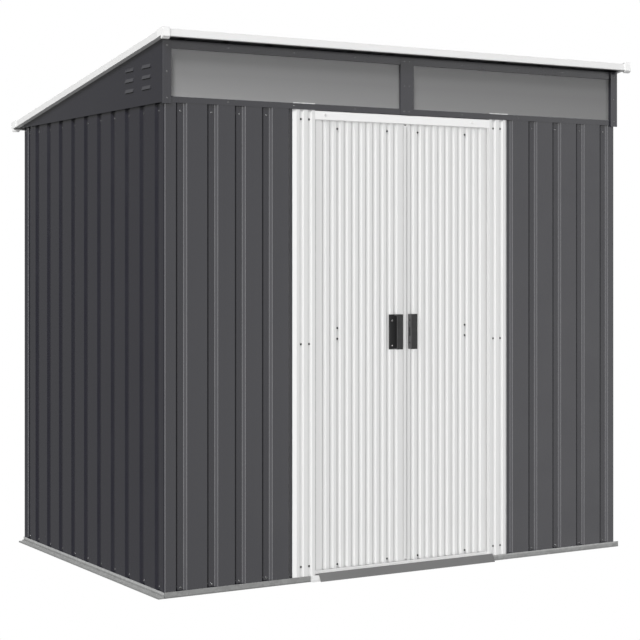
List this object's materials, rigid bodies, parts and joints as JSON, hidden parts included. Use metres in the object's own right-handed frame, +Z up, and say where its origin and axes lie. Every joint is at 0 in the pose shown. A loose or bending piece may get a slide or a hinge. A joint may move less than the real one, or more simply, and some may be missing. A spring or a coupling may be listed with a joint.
{
  "type": "metal garden tool shed",
  "caption": "Steel tool shed with a pent roof, ribbed dark walls, rippled white sliding doors, a smoked window strip under the roof and louvred gables.",
  "frame": {"origin": "centre of the bounding box in plan, at ground level under the base rails", "axes": "+X along the door front to the right as seen from outside, +Y from the front to the back wall, +Z up"},
  "size_m": [1.8916, 1.3262, 1.7813],
  "materials": {
    "dark_steel": "satin dark grey baked paint on thin folded steel sheet",
    "white_steel": "satin white baked paint on thin folded steel sheet",
    "galvanised_steel": "light grey zinc-coated steel with a dull sheen",
    "ramp_steel": "mid grey painted steel",
    "black_plastic": "black moulded plastic with a fine grain",
    "smoked_acrylic": "smoked grey clear sheet with a gloss surface"
  },
  "bodies": {
    "shed": {"base_rail_front_left": "galvanised_steel", "base_rail_front_right": "galvanised_steel", "base_rail_left": "galvanised_steel", "base_rail_right": "galvanised_steel", "base_rail_back": "galvanised_steel", "door_sill_ramp": "ramp_steel", "door_bottom_track": "white_steel", "front_wall_left": "dark_steel", "front_wall_right": "dark_steel", "left_wall_front": "dark_steel", "left_wall_rear": "dark_steel", "right_wall_front": "dark_steel", "right_wall_rear": "dark_steel", "back_wall_left": "dark_steel", "back_wall_right": "dark_steel", "left_jamb": "white_steel", "right_jamb": "white_steel", "door_header": "white_steel", "top_rail_front": "dark_steel", "top_rail_left": "dark_steel", "top_rail_right": "dark_steel", "top_rail_back": "dark_steel", "gable_left": "dark_steel", "gable_right": "dark_steel", "window_rail_lower": "dark_steel", "window_rail_upper": "dark_steel", "window_post_left": "dark_steel", "window_post_right": "dark_steel", "window_mullion": "dark_steel", "window_pane_left": "smoked_acrylic", "window_pane_right": "smoked_acrylic", "roof_sheet_left": "dark_steel", "roof_sheet_right": "dark_steel", "roof_beams": "dark_steel", "roof_trim_front": "white_steel", "roof_trim_back": "white_steel", "roof_trim_left": "white_steel", "roof_trim_right": "white_steel", "roof_corner_caps": "white_steel"},
    "left_door": {"left_door_sheet": "white_steel", "left_door_rails": "white_steel", "left_door_glides": "black_plastic", "left_door_handle": "black_plastic"},
    "right_door": {"right_door_sheet": "white_steel", "right_door_rails": "white_steel", "right_door_glides": "black_plastic", "right_door_handle": "black_plastic"}
  },
  "joints": [
    {"name": "left_door_slide", "type": "slide", "parent": "shed", "child": "left_door", "axis": [-1, 0, 0], "range_m": [0, 0.28]},
    {"name": "right_door_slide", "type": "slide", "parent": "shed", "child": "right_door", "axis": [1, 0, 0], "range_m": [0, 0.28]}
  ]
}
